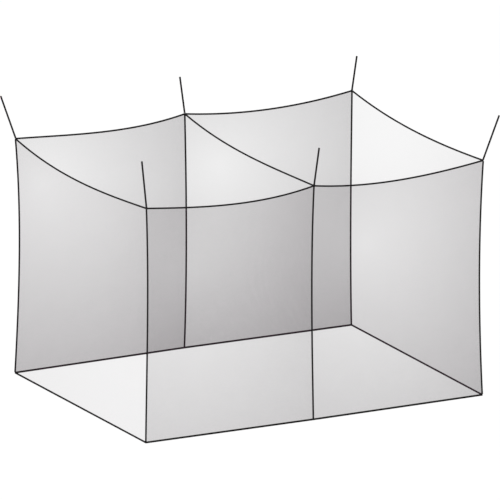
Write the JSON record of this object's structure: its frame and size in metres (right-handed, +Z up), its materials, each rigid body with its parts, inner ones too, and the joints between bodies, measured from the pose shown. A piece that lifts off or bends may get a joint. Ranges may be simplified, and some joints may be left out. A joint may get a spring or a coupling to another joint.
{
  "type": "mosquito net canopy",
  "caption": "Rectangular see-through net canopy with dark corded seams and a bound hem, open underneath, hung from taut cords at its corners and mid sides.",
  "frame": {"origin": "at hem level, under the middle of the net", "axes": "+Z up; X along the net's length; +Y from the front wall to the back wall"},
  "size_m": [2.4923, 1.9244, 1.8365],
  "materials": {
    "long_wall_net": "fine knitted polyester net of near-black yarn, sheer",
    "end_wall_net": "fine knitted polyester net of near-black yarn, very sheer",
    "roof_net": "fine knitted polyester net of near-black yarn, very sheer",
    "piping_cloth": "near-black woven cloth sewn round a filler cord",
    "hem_tape": "near-black woven binding tape, folded and stitched",
    "cord_braid": "near-black braided cord"
  },
  "bodies": {
    "root": {"wall_front_left": "long_wall_net", "wall_front_right": "long_wall_net", "wall_end_right": "end_wall_net", "wall_back_right": "long_wall_net", "wall_back_left": "long_wall_net", "wall_end_left": "end_wall_net", "roof_left": "roof_net", "roof_right": "roof_net", "roof_edge_piping": "piping_cloth", "roof_middle_piping": "piping_cloth", "hem_tape": "hem_tape", "seam_piping_front_left": "piping_cloth", "seam_piping_front_middle": "piping_cloth", "seam_piping_front_right": "piping_cloth", "seam_piping_back_right": "piping_cloth", "seam_piping_back_middle": "piping_cloth", "seam_piping_back_left": "piping_cloth", "cord_front_left": "cord_braid", "cord_front_middle": "cord_braid", "cord_front_right": "cord_braid", "cord_back_right": "cord_braid", "cord_back_middle": "cord_braid", "cord_back_left": "cord_braid"}
  },
  "joints": []
}
